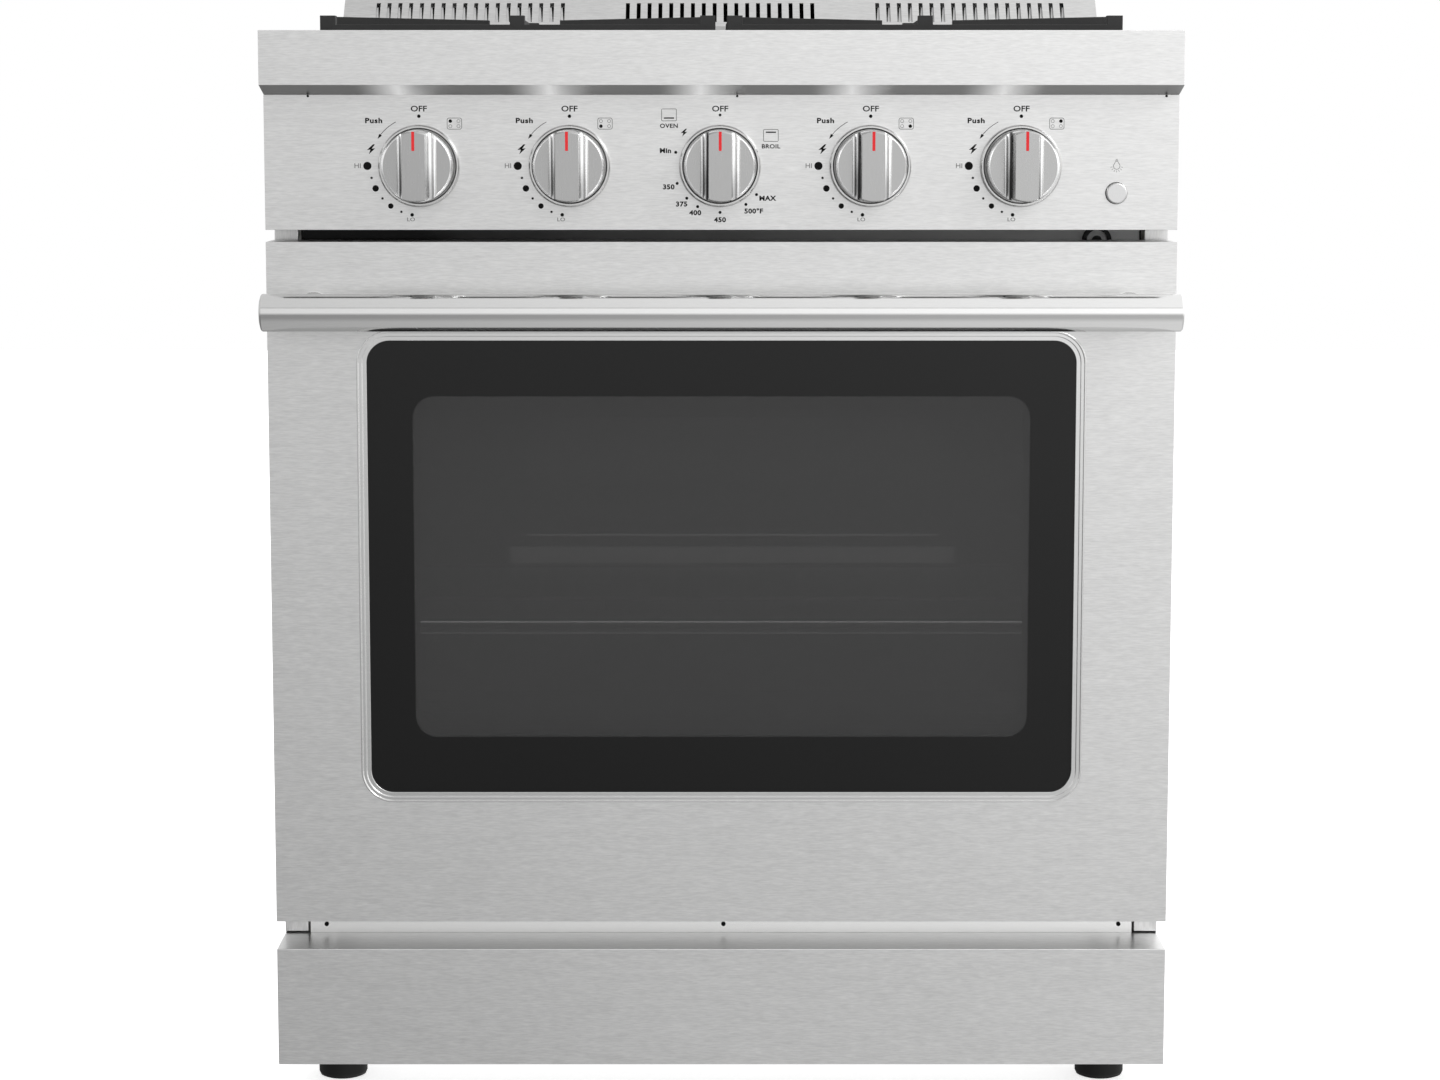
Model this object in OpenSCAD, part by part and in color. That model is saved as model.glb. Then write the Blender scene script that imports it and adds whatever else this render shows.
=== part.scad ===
// Freestanding gas range: four sealed burners over a gas oven, professional style.
// Millimetres. X runs left to right as seen from the front, Y runs back, Z runs up.
// The origin is the middle of the footprint, at floor level.

/* [Overall] */
// Width over the door, the panels and the bullnose
range_w = 760; // [740:2:780]
// Depth from the door's front face to the rear panel
body_depth = 650; // [640:5:680]
// Height of the cooktop's edge above the floor
cooktop_z = 903; // [898:1:910]
// Height of the top of the backguard
backguard_z = 960; // [950:1:975]

/* [Door] */
// Height of the door's lower edge
door_bottom = 150; // [148:1:154]
// Height of the door's upper edge
door_top = 729; // [724:1:732]
// Depth of the door's side walls
door_depth = 50; // [46:1:52]
// Width of the glass that shows
window_w = 595; // [560:5:600]
// Height of the glass that shows
window_h = 384.5; // [350:0.5:390]
// Height of the lower edge of that glass
window_bottom = 262; // [255:1:270]
// Diameter of the handle
handle_d = 31; // [24:1:34]
// Height of the handle's axis
handle_z = 673.5; // [670:0.5:680]

/* [Controls] */
// Height of the control panel's lower edge
panel_bottom = 739; // [736:1:742]
// Height of the control panel's upper edge
panel_top = 851; // [845:1:856]
// Height of the knobs' axes
knob_z = 792; // [785:1:800]
// Distance between knobs
knob_pitch = 125; // [100:1:130]
// Diameter of a knob
knob_d = 59; // [50:1:62]
// How far a knob pushes in
knob_push = 4; // [3:0.5:4]
// Place of the light button across the panel
button_x = 328.5; // [320:0.5:340]

/* [Cooktop] */
// Distance of each burner from the middle, across
burner_x = 172.5; // [165:0.5:178]
// Width of the bars of a grate
bar_w = 11; // [9:0.5:12]
// Width of one grate
grate_w = 334; // [330:0.5:337]
// Depth of one grate
grate_depth = 486; // [480:1:490]
// Slots in each group of the backguard
slot_count = 18; // [10:1:18]
// Distance between those slots
slot_pitch = 10.87; // [10:0.01:11]

/* [Base] */
// Height of the kick plate's lower edge
kick_bottom = 24.5; // [24:0.5:28]
// Height of the kick plate's upper edge
kick_top = 126; // [120:1:128]
// Diameter of a levelling foot
foot_d = 42; // [36:1:44]

/* [Hidden] */
sheet = 1.2;
half_w = range_w / 2;
handle_reach = 75;
handle_axis = handle_reach - handle_d / 2;
front = handle_reach - (body_depth + handle_reach) / 2;
rear = front + body_depth;
frame_y = front + 59;
rear_sheet = 1;
post_w = 20;
trim_gap = 2;
opening_x = half_w - post_w - trim_gap;
pan_z = cooktop_z - 20;
basin_z = cooktop_z - 25;
body_bottom = 28;

// oven
cavity_x = 305;
cavity_z0 = 200;
cavity_z1 = 680;
cavity_depth = 490;
cavity_back = frame_y + cavity_depth;
mouth_z0 = 262;
rack_z = 387.5;
rack_front = front + 100;
rack_depth = 425;
rack_x = 296;
rung_x = 299.5;
rung_pitch = 56;
rung_r = 2.5;
rod_r = 3;

// door
pivot_y = front + 30;
pivot_z = door_bottom + 12;
hinge_x = 330;
hinge_pin_r = 4;
pin_gap = 0.05;
window_top = window_bottom + window_h;
trim_w = 8.2;
liner_y = front + door_depth;
pane_t = 4;
pane_y = front + 5;
inner_pane_y = frame_y + 3 - sheet - pane_t;
handle_end = half_w - 2;
bracket_x = 340;

// controls
knob_count = 5;
knob_face = 28;
grip_face = 60;
bezel_in = knob_d + 1.8;
knob_shift = -1.2;
bezel_h = 5;
button_z = 769.5;
knob_back = knob_push + 2.4;
stem_r = 3;
valve_r = 4;
stem_tip = front - 36;
valve_y = front + 45;

// cooktop
grate_top = cooktop_z + 14.4;
rail_top = cooktop_z + 6.8;
grate_y0 = front + 60;
burner_front_y = front + 181;
burner_rear_y = front + 425;
grate_gap = 5;
finger_tip = 31;
guard_foot = front + 585;
guard_lip = front + 625;
slot_w = 4;
slot_groups = [-250, 0, 250];
guard_low = cooktop_z + 19;
guard_end = 3.5;

// base
leg_x = 331;
leg_front = front + 58;
leg_rear = rear - 66;
stud_r = 6;
leg_top = 57;

function knob_x(i) = (i - 3) * knob_pitch + knob_shift;
function burner_at(i) = [(i % 2 == 0 ? -1 : 1) * burner_x, i < 2 ? burner_front_y : burner_rear_y];
function cap_d(i) = [96, 84, 70, 84][i];

// A box from its lowest to its highest corner.
module block(low, high) {
    translate(low) cube(high - low);
}

// A rounded rectangle with true arcs, centred.
module rounded(w, h, r) {
    square([w - 2 * r, h], center = true);
    square([w, h - 2 * r], center = true);
    for (x = [-1, 1], z = [-1, 1])
        translate([x * (w / 2 - r), z * (h / 2 - r)]) circle(r = r, $fn = 48);
}

// A rounded rectangle standing in the X-Z plane, from y0 to y1.
module upright(w, z0, z1, r, y0, y1) {
    translate([0, y1, (z0 + z1) / 2]) rotate([90, 0, 0])
        linear_extrude(y1 - y0) rounded(w, z1 - z0, r);
}

// A cylinder along Y from y0 to y1.
module rod_y(x, z, r, y0, y1, n = 48) {
    translate([x, y1, z]) rotate([90, 0, 0]) cylinder(r = r, h = y1 - y0, $fn = n);
}

// A cylinder along X from x0 to x1.
module rod_x(y, z, r, x0, x1, n = 48) {
    translate([x0, y, z]) rotate([0, 90, 0]) cylinder(r = r, h = x1 - x0, $fn = n);
}

// A profile in the Y-Z plane, extruded from x0 to x1.
module profile_x(points, x0, x1) {
    translate([x0, 0, 0]) rotate([90, 0, 90]) linear_extrude(x1 - x0) polygon(points);
}

module both_sides() {
    children();
    mirror([1, 0, 0]) children();
}

// ---- body ----

// Side sheet with a narrow return at the front, parted at the kick plate's top, and one at the back.
module side_panel() {
    color("lightgray") {
        block([-half_w, frame_y, body_bottom - 2], [sheet - half_w, rear - rear_sheet, pan_z]);
        block([-half_w, frame_y, body_bottom - 2], [post_w - half_w, frame_y + sheet, kick_top - 2]);
        block([-half_w, frame_y, kick_top + 1.2], [post_w - half_w, frame_y + sheet, pan_z]);
        block([-half_w, rear - rear_sheet - sheet, body_bottom - 2],
              [post_w - half_w, rear - rear_sheet, pan_z]);
    }
}

module side_panel_left() {
    side_panel();
}

module side_panel_right() {
    mirror([1, 0, 0]) side_panel();
}

gas_port = [300, 120];
cord_port = [-300, 215];
rear_bottom = 170;
gland_r = 11;
vent_z = 650;

// Rear sheet, which stops above the gas inlet, with a hole for the lead and rows of vent slots.
module rear_panel() {
    color("silver") difference() {
        block([-half_w, rear - rear_sheet, rear_bottom], [half_w, rear, pan_z]);
        rod_y(cord_port[0], cord_port[1], gland_r, rear - 5, rear + 1);
        for (row = [0:5], side = [-1:1])
            block([side * 200 - 60, rear - 5, vent_z + row * 20],
                  [side * 200 + 60, rear + 1, vent_z + row * 20 + 6]);
    }
}

// Bottom tray with four threaded leg sockets and two cross supports under the oven.
module base_pan() {
    color("dimgray") difference() {
        union() {
            block([sheet - half_w, frame_y + sheet, body_bottom],
                  [half_w - sheet, rear - rear_sheet - sheet, body_bottom + sheet]);
            block([-opening_x, front + 40, body_bottom], [opening_x, frame_y + sheet, body_bottom + sheet]);
            for (x = [-leg_x, leg_x], y = [leg_front, leg_rear])
                translate([x, y, body_bottom]) cylinder(r = 14, h = 30, $fn = 48);
            for (y = [frame_y + 150, frame_y + 430]) {
                block([-340, y, body_bottom], [340, y + sheet, 178]);
                block([-340, y, 178 - sheet], [340, y + 30, 178]);
            }
        }
        for (x = [-leg_x, leg_x], y = [leg_front, leg_rear])
            translate([x, y, 0]) cylinder(r = stud_r + pin_gap, h = 100, $fn = 48);
    }
}

screw_z = 133.8;
screw_r = 1.2;
screw_places = [-344, 2, 346.5];

// Bright rail between the side panels' returns, under the door.
module front_rail() {
    color("lightgray") difference() {
        union() {
            block([-opening_x, frame_y, 60], [opening_x, frame_y + sheet, 172]);
            block([-opening_x, frame_y, 60], [opening_x, frame_y + 20, 60 + sheet]);
        }
        for (x = screw_places) rod_y(x, screw_z, screw_r, frame_y - 1, frame_y + 3);
        for (x = [-hinge_x, hinge_x])
            block([x - 7, frame_y - 1, 147], [x + 7, frame_y + 3, 173]);
    }
}

header_bottom = 702;
header_top = 765;
header_y = frame_y + 6;
plug_x = 320;
plug_z = 728;

// Dark recessed panel behind the gap over the door, with a ring-shaped plug in it.
module header_panel() {
    color("black") {
        block([-opening_x, header_y, header_bottom], [opening_x, header_y + sheet, header_top]);
        difference() {
            rod_y(plug_x, plug_z, 12, header_y - 4, header_y);
            rod_y(plug_x, plug_z, 9, header_y - 5, header_y - 1.5);
        }
        rod_y(plug_x, plug_z, 4, header_y - 3.5, header_y);
    }
}

module body_screws() {
    color("gray") {
        for (x = screw_places) {
            rod_y(x, screw_z, 1.9, frame_y - 1, frame_y);
            rod_y(x, screw_z, screw_r, frame_y, frame_y + 10);
        }
        for (x = [-343, 13, 369]) {
            rod_y(x, panel_top - 1.4, 1, front - 0.8, front);
        }
    }
}

// Folded plate across the foot of the front, with a flat top.
module kick_plate() {
    color("lightgray") {
        block([-half_w, front, kick_bottom], [half_w, front + sheet, kick_top]);
        block([-half_w, front, kick_top - sheet], [half_w, frame_y, kick_top]);
        block([-half_w, front, kick_bottom], [half_w, front + 15, kick_bottom + sheet]);
        both_sides() block([-half_w, front, kick_bottom], [sheet - half_w, frame_y, kick_top]);
    }
}

// ---- oven ----

module oven_cavity() {
    color("dimgray") difference() {
        union() {
            block([-cavity_x - sheet, frame_y, cavity_z0 - sheet],
                  [cavity_x + sheet, cavity_back + sheet, cavity_z1 + sheet]);
            block([-opening_x, frame_y, 172], [opening_x, frame_y + sheet, header_bottom]);
        }
        block([-cavity_x, frame_y + sheet, cavity_z0], [cavity_x, cavity_back, cavity_z1]);
        upright(2 * cavity_x, mouth_z0, cavity_z1, 12, frame_y - 1, frame_y + sheet + 1);
        for (z = [230, 655]) rod_y(0, z, 10.5, cavity_back - 1, cavity_back + 5);
        for (x = [-hinge_x, hinge_x])
            block([x - 7, frame_y - 1, 160], [x + 7, frame_y + 3, 178]);
    }
}

module oven_insulation() {
    color("khaki") difference() {
        block([-345, frame_y + 10, 178], [345, cavity_back + 22, 716]);
        block([-cavity_x - sheet, frame_y + 1, cavity_z0 - sheet],
              [cavity_x + sheet, cavity_back + sheet, cavity_z1 + sheet]);
        for (z = [230, 655]) rod_y(0, z, 10.5, cavity_back - 1, cavity_back + 60);
    }
}

floor_z = 256;

// Loose oven bottom over the bake burner, with heat slots along both sides.
module oven_floor() {
    color("dimgray") difference() {
        block([-cavity_x + 2, frame_y + 10, cavity_z0], [cavity_x - 2, cavity_back - 8, floor_z + sheet]);
        block([sheet + 2 - cavity_x, frame_y + 10 + sheet, cavity_z0 - 1],
              [cavity_x - 2 - sheet, cavity_back, floor_z]);
        for (side = [-1, 1], k = [0:6])
            translate([side * 265, frame_y + 70 + k * 58, 0])
                block([-25, -4, floor_z - 1], [25, 4, floor_z + 3]);
    }
}

// A straight gas tube along the middle of the oven, with flame ports down each side.
module bake_burner() {
    color("silver") {
        difference() {
            rod_y(0, 230, 10, frame_y + 60, cavity_back + 30);
            rod_y(0, 230, 8.5, frame_y + 62, cavity_back + 31);
            for (k = [0:11]) rod_x(frame_y + 90 + k * 30, 230, 1.6, -12, 12, 16);
        }
        difference() {
            block([-6, frame_y + 70, cavity_z0], [6, frame_y + 74, 226]);
            rod_y(0, 230, 9, frame_y + 69, frame_y + 75);
        }
    }
}

// Box burner under the oven's roof with a ribbed ceramic face.
module broil_burner() {
    color("silver") {
        difference() {
            block([-120, frame_y + 110, 640], [120, frame_y + 390, cavity_z1]);
            block([sheet - 120, frame_y + 110 + sheet, 639], [120 - sheet, frame_y + 390 - sheet, 650]);
            block([sheet - 120, frame_y + 110 + sheet, 650 + sheet],
                  [120 - sheet, frame_y + 390 - sheet, cavity_z1 - sheet]);
            rod_y(0, 655, 8.5, frame_y + 380, frame_y + 395);
        }
        for (k = [0:8])
            block([sheet - 120, frame_y + 126 + k * 30, 645], [120 - sheet, frame_y + 134 + k * 30, 650]);
        difference() {
            rod_y(0, 655, 10, frame_y + 390, cavity_back + 30);
            rod_y(0, 655, 8.5, frame_y + 389, cavity_back + 31);
        }
    }
}

rung_y0 = frame_y + 20;
rung_y1 = cavity_back - 12;

// Wire ladders on both oven walls: six pairs of rungs, hung on studs.
module rack_guides() {
    color("silver") both_sides() {
        for (k = [-1:4])
            rod_y(rung_x, rack_z - rod_r - 0.3 - rung_r + k * rung_pitch, rung_r, rung_y0, rung_y1, 24);
        for (y = [rung_y0 + 20, rung_y1 - 20]) {
            translate([cavity_x - 2.7, y, 300]) cylinder(r = rung_r, h = 330, $fn = 24);
            for (z = [306, 620]) rod_x(y, z, 3.5, cavity_x - 3, cavity_x, 24);
        }
    }
}

module oven_lamp() {
    color("ivory") translate([-230, cavity_back, 630]) rotate([90, 0, 0]) {
        cylinder(r = 30, h = 5, $fn = 64);
        rotate_extrude($fn = 64) intersection() {
            translate([0, 5 - 20]) circle(r = 35, $fn = 96);
            translate([0, 4]) square([40, 40]);
        }
    }
}

baffle_x = 12;

// Embossed cover over the flue opening in the oven's back wall, with a flat duct across it.
module rear_baffle() {
    color("gray") translate([baffle_x, 0, 0]) {
        difference() {
            union() {
                upright(412, 300, 534, 24, cavity_back - 5, cavity_back);
                block([-222, cavity_back - 16, 382], [222, cavity_back, 405]);
            }
            upright(412 - 2 * sheet, 300 + sheet, 534 - sheet, 24 - sheet, cavity_back - 5 + sheet, cavity_back + 1);
            block([sheet - 222, cavity_back - 16 + sheet, 382 + sheet], [222 - sheet, cavity_back + 1, 405 - sheet]);
        }
    }
}

// Flat seal round the oven's mouth.
module door_gasket() {
    color("dimgray") difference() {
        upright(2 * cavity_x + 26, mouth_z0 - 13, cavity_z1 + 13, 20, liner_y + sheet + 0.3, frame_y);
        upright(2 * cavity_x + 6, mouth_z0 - 3, cavity_z1 + 3, 12, liner_y, frame_y + 1);
    }
}

// Fixed hinge leaves: an eye round the door's pin and a bar back into the receiver box.
module hinge_arms() {
    color("silver") for (x = [-hinge_x, hinge_x]) {
        difference() {
            union() {
                rod_x(pivot_y, pivot_z, 9, x - 4, x + 4);
                block([x - 4, pivot_y, pivot_z - 7], [x + 4, frame_y + 70, pivot_z + 7]);
            }
            rod_x(pivot_y, pivot_z, hinge_pin_r + pin_gap, x - 9, x + 9);
        }
        difference() {
            block([x - 7, frame_y + 10, pivot_z - 10], [x + 7, frame_y + 90, pivot_z + 10]);
            block([x - 4, frame_y, pivot_z - 7], [x + 4, frame_y + 70, pivot_z + 7]);
        }
    }
}

// ---- cooktop ----

basin_x = 352;
basin_y0 = front + 45;
basin_y1 = front + 565;
basin_r = 18;

module basin(x, y0, y1, r, z0, z1) {
    translate([0, (y0 + y1) / 2, z0]) linear_extrude(z1 - z0) rounded(2 * x, y1 - y0, r);
}

// Enamelled pan with a raised rim and a shallow basin for the burners.
module cooktop_pan() {
    color("black") difference() {
        union() {
            block([-half_w, front + 22, pan_z], [half_w, rear, cooktop_z]);
            basin(basin_x + sheet, basin_y0 - sheet, basin_y1 + sheet, basin_r + sheet, basin_z - sheet, pan_z);
        }
        basin(basin_x, basin_y0, basin_y1, basin_r, basin_z, cooktop_z + 1);
        block([-118, guard_foot + 6, pan_z - 1], [118, rear - 6, cooktop_z + 1]);
        difference() {
            block([sheet - half_w, front + 22 + sheet, pan_z - 1], [half_w - sheet, rear - sheet, cooktop_z - sheet]);
            basin(basin_x + sheet, basin_y0 - sheet, basin_y1 + sheet, basin_r + sheet, pan_z - 2, cooktop_z);
        }
    }
}

// Hollow nose across the front of the cooktop, with a slanting underside.
module bullnose() {
    nose = front - 29;
    low = panel_top + 7;
    under = basin_z - 6;
    color("lightgray") difference() {
        profile_x([[nose, low], [nose, cooktop_z], [front + 22, cooktop_z], [front + 22, pan_z],
                   [front + 38, pan_z], [front + 38, under], [frame_y, under], [frame_y, panel_top],
                   [front, panel_top]], -half_w, half_w);
        profile_x([[nose + sheet, low + sheet], [nose + sheet, cooktop_z - sheet],
                   [front + 22 - sheet, cooktop_z - sheet], [front + 22 - sheet, pan_z - sheet],
                   [front + 38 - sheet, pan_z - sheet], [front + 38 - sheet, under - sheet],
                   [frame_y + 1, under - sheet], [frame_y + 1, panel_top + sheet], [front, panel_top + sheet]],
                  sheet - half_w, half_w - sheet);
    }
}

module burner_bases() {
    color("gainsboro") for (i = [0:3]) translate([burner_at(i)[0], burner_at(i)[1], basin_z])
        rotate_extrude($fn = 96)
            polygon([[0, 0], [cap_d(i) / 2 + 14, 0], [cap_d(i) / 2 + 10, 4], [cap_d(i) / 2 - 2, 6], [0, 6]]);
}

// Cast burner rings with flame ports cut round the edge.
module burner_heads() {
    color("silver") for (i = [0:3]) translate([burner_at(i)[0], burner_at(i)[1], basin_z + 6])
        difference() {
            rotate_extrude($fn = 96)
                polygon([[0, 0], [cap_d(i) / 2 - 12, 0], [cap_d(i) / 2 - 5, 5], [cap_d(i) / 2 - 5, 10], [0, 10]]);
            for (a = [0:15:345]) rotate([0, 0, a])
                block([cap_d(i) / 2 - 11, -1, 6.5], [cap_d(i) / 2, 1, 11]);
        }
}

module burner_caps() {
    color("black") for (i = [0:3]) translate([burner_at(i)[0], burner_at(i)[1], basin_z + 16])
        rotate_extrude($fn = 96)
            polygon([[0, 0], [cap_d(i) / 2 - 1, 0], [cap_d(i) / 2, 1], [cap_d(i) / 2, 3.5],
                     [cap_d(i) / 2 - 2, 5], [cap_d(i) / 2 - 14, 6], [0, 6.5]]);
}

module igniters() {
    color("white") for (i = [0:3], a = [35])
        translate([burner_at(i)[0] + (cap_d(i) / 2 + 5) * cos(a), burner_at(i)[1] + (cap_d(i) / 2 + 5) * sin(a),
                   basin_z + 3]) {
            cylinder(r = 3, h = 11, $fn = 32);
            cylinder(r = 1, h = 14, $fn = 16);
        }
}

grate_bottom = basin_z + 0.3;

// One finger from its root to its tip: its top falls a little and its underside rises.
module finger(root, tip, root_top, tip_top) {
    linear_extrude(bar_w, center = true)
        polygon([[root, cooktop_z], [root, cooktop_z + root_top], [tip, cooktop_z + tip_top],
                 [tip, cooktop_z + 3]]);
}

// Cast grate over a front and a rear burner: a low frame, raised blocks and eight fingers.
module grate() {
    x0 = -grate_gap - grate_w;
    x1 = -grate_gap;
    y0 = grate_y0;
    y1 = grate_y0 + grate_depth;
    mid = (y0 + y1) / 2;
    rail_z = rail_top - 14;
    block([x0, y0, rail_z], [x1, y0 + bar_w, rail_top]);
    block([x0, y1 - bar_w, rail_z], [x1, y1, rail_top]);
    block([x0, y0, rail_z], [x0 + bar_w, y1, rail_top]);
    block([x1 - bar_w, y0, rail_z], [x1, y1, rail_top]);
    block([x0, mid - bar_w / 2, rail_z], [x1, mid + bar_w / 2, rail_top]);
    for (x = [x0, x1 - 13], y = [y0, mid - 6.5, y1 - 13])
        block([x, y, grate_bottom], [x + 13, y + 13, grate_top]);
    for (y = [y0, mid - 6.5, y1 - 13])
        block([-burner_x - 6.2, y, rail_z], [-burner_x + 6.2, y + 13, grate_top]);
    for (y = [burner_front_y, burner_rear_y]) {
        translate([0, y, 0]) rotate([90, 0, 0]) finger(x0, -burner_x - finger_tip, 16.6, 13.5);
        translate([0, y, 0]) rotate([90, 0, 0]) finger(x1, -burner_x + finger_tip, 16.6, 13.5);
    }
    for (pair = [[y0, burner_front_y - finger_tip], [mid, burner_front_y + finger_tip],
                 [mid, burner_rear_y - finger_tip], [y1, burner_rear_y + finger_tip]])
        translate([-burner_x, 0, 0]) rotate([90, 0, 90]) finger(pair[0], pair[1], 11.5, 10.6);
}

module grate_left() {
    color("black") grate();
}

module grate_right() {
    color("black") mirror([1, 0, 0]) grate();
}

// Upstand at the back: a sloping face with three groups of slots.
module backguard() {
    slope = atan2(backguard_z - guard_low, guard_lip - guard_foot);
    color("lightgray") difference() {
        profile_x([[guard_foot, cooktop_z], [guard_foot, guard_low], [guard_lip, backguard_z],
                   [rear, backguard_z], [rear, cooktop_z]], guard_end - half_w, half_w - guard_end);
        profile_x([[guard_foot + sheet, cooktop_z - 1], [guard_foot + sheet, guard_low - sheet / 2],
                   [guard_lip + sheet / 2, backguard_z - sheet], [rear - sheet, backguard_z - sheet],
                   [rear - sheet, cooktop_z - 1]], guard_end + sheet - half_w, half_w - guard_end - sheet);
        for (group = slot_groups, k = [0:slot_count - 1])
            translate([group + (k - (slot_count - 1) / 2) * slot_pitch, guard_foot, guard_low])
                rotate([slope, 0, 0]) block([-slot_w / 2, 6, -6], [slot_w / 2, 34, 6]);
    }
}

// Flue walls behind the middle slots and bright deflector plates behind the side slots.
module flue_duct() {
    color("dimgray") {
        difference() {
            block([-120, guard_foot + 4, cooktop_z], [120, rear - 4, guard_low - 2]);
            block([sheet - 120, guard_foot + 4 + sheet, cooktop_z - 1],
                  [120 - sheet, rear - 4 - sheet, guard_low + 10]);
        }
        block([-120, rear - 4 - sheet, guard_low - 3], [120, rear - 4, backguard_z - sheet - 2]);
        both_sides() profile_x([[guard_foot + 2, cooktop_z], [guard_foot + 2, guard_low - 2.5],
                                [guard_foot + 24.6, guard_low + 19], [guard_foot + 25.6, guard_low + 18.2],
                                [guard_foot + 2 + sheet, guard_low - 3.3], [guard_foot + 2 + sheet, cooktop_z]],
                               140, 360);
    }
}

// ---- controls ----

module control_panel() {
    color("lightgray") difference() {
        union() {
            block([-half_w, front, panel_bottom], [half_w, front + sheet, panel_top]);
            block([-half_w, front, panel_bottom], [half_w, frame_y, panel_bottom + sheet]);
            both_sides() block([-half_w, front, panel_bottom], [sheet - half_w, frame_y, panel_top]);
        }
        for (i = [1:knob_count]) rod_y(knob_x(i), knob_z, 6, front - 1, front + 3);
        rod_y(button_x, button_z, 9, front - 1, front + 3);
    }
}

// Bright rings round the knobs.
module knob_bezels() {
    color("silver") for (i = [1:knob_count]) translate([knob_x(i), front, knob_z]) rotate([90, 0, 0])
        rotate_extrude($fn = 96) translate([bezel_in / 2, 0])
            polygon([[0, 0], [3.8, 0], [3.8, 1.6], [3.2, 3.8], [2.4, bezel_h], [1.1, bezel_h], [0, 3.8]]);
}

manifold_y = front + 88;

pipe_r = 10.5;
riser_y = rear - 68;
riser_r = 6;

// Manifold behind the panel, its riser down the back, and the regulator at the gas inlet.
module gas_supply() {
    color("silver") {
        difference() {
            union() {
                rod_x(manifold_y, knob_z, 10, -320, 320);
                rod_y(gas_port[0], knob_z, riser_r, manifold_y, riser_y);
                translate([gas_port[0], riser_y, knob_z]) sphere(r = riser_r, $fn = 48);
            }
            rod_x(manifold_y, knob_z, 8, -317, 317);
        }
        translate([gas_port[0], riser_y, gas_port[1]]) cylinder(r = riser_r, h = knob_z - gas_port[1], $fn = 48);
        difference() {
            union() {
                rod_y(gas_port[0], gas_port[1], 14, rear - 50, rear - 6);
                block([gas_port[0] - 28, rear - 85, gas_port[1] - 22],
                      [gas_port[0] + 28, rear - 50, gas_port[1] + 22]);
                translate([gas_port[0], riser_y, gas_port[1]]) cylinder(r = 24, h = 36, $fn = 64);
            }
            rod_y(gas_port[0], gas_port[1], pipe_r, rear - 45, rear + 1);
        }
    }
}

// Five plug-type gas valves saddled to the manifold, each with a bore for its stem.
module gas_valves() {
    color("goldenrod") for (i = [1:knob_count]) difference() {
        union() {
            rod_y(knob_x(i), knob_z, 13, front + 12, valve_y);
            block([knob_x(i) - 12, valve_y, knob_z - 12], [knob_x(i) + 12, manifold_y, knob_z + 12]);
            rod_x(valve_y + 14, knob_z - 6, 5, knob_x(i) - 26, knob_x(i));
        }
        rod_x(manifold_y, knob_z, 10.1, knob_x(i) - 20, knob_x(i) + 20);
        rod_y(knob_x(i), knob_z, valve_r + pin_gap, front, valve_y);
    }
}

module light_switch() {
    color("dimgray") difference() {
        block([button_x - 14, front + sheet, button_z - 14], [button_x + 14, front + 34, button_z + 14]);
        rod_y(button_x, button_z, 8.9, front, front + 12);
    }
}

module light_button() {
    color("gainsboro") translate([button_x, 0, button_z]) rotate([90, 0, 0]) rotate_extrude($fn = 64)
        polygon([[0, -front - 8], [8.6, -front - 8], [8.6, 3.2 - front], [7.8, 4 - front], [0, 4 - front]]);
}

// Gas valve spindle: round in the valve, flat-sided in the knob.
module stem(i) {
    color("silver") {
        rod_y(knob_x(i), knob_z, valve_r, front + 4, valve_y - 4);
        difference() {
            rod_y(knob_x(i), knob_z, stem_r, stem_tip, front + 5, 32);
            block([knob_x(i) - 4, stem_tip - 1, knob_z + 1.8], [knob_x(i) + 4, front - 1, knob_z + 4]);
        }
    }
}

channel_out = 16.2;
grip_w = 18.8;

// Machined knob: a hollow drum with a bevelled face, two channels and a tall grip bar.
module knob(i) {
    r = knob_d / 2;
    color("lightgray") translate([knob_x(i), front, knob_z]) rotate([90, 0, 0]) difference() {
        union() {
            rotate_extrude($fn = 96)
                polygon([[0, knob_back], [r, knob_back], [r, knob_face - 1.6], [r - 1.6, knob_face], [0, knob_face]]);
            intersection() {
                rotate_extrude($fn = 96)
                    polygon([[0, knob_face - 6], [r - 0.8, knob_face - 6], [r - 0.8, grip_face - 1.2],
                             [r - 2, grip_face], [0, grip_face]]);
                translate([0, 0, 22]) linear_extrude(40)
                    polygon([[-grip_w / 2, -r], [grip_w / 2, -r], [grip_w / 2, r], [-grip_w / 2, r]]);
            }
        }
        for (side = [-1, 1]) {
            translate([side * (grip_w / 2 + 2.6), 0, knob_face]) rotate([90, 0, 0])
                cylinder(r = 2.6, h = 2 * r + 2, center = true, $fn = 32);
            translate([side * (channel_out - 1.2), 0, knob_face + 0.6]) rotate([90, 0, 0])
                cylinder(r = 1.5, h = 2 * r + 2, center = true, $fn = 24);
        }
        difference() {
            translate([0, 0, 6]) cylinder(r = r - 2.5, h = 16, $fn = 96);
            translate([0, 0, 6]) cylinder(r = 8, h = 17, $fn = 48);
        }
        difference() {
            translate([0, 0, 6]) cylinder(r = stem_r + pin_gap, h = 36, $fn = 48);
            block([-4, 1.9, 5], [4, 4, 43]);
        }
        translate([0, r - 1.5, grip_face]) block([-1.2, -16, -0.5], [1.2, 2, 1]);
    }
}

// ---- door ----

notch_z = pivot_z + 11;

// Room in the door for one hinge leaf as the door swings down.
module hinge_notch(w) {
    for (x = [-hinge_x, hinge_x])
        block([x - w / 2, pivot_y - 12, door_bottom - 1], [x + w / 2, frame_y, notch_z]);
}

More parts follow.
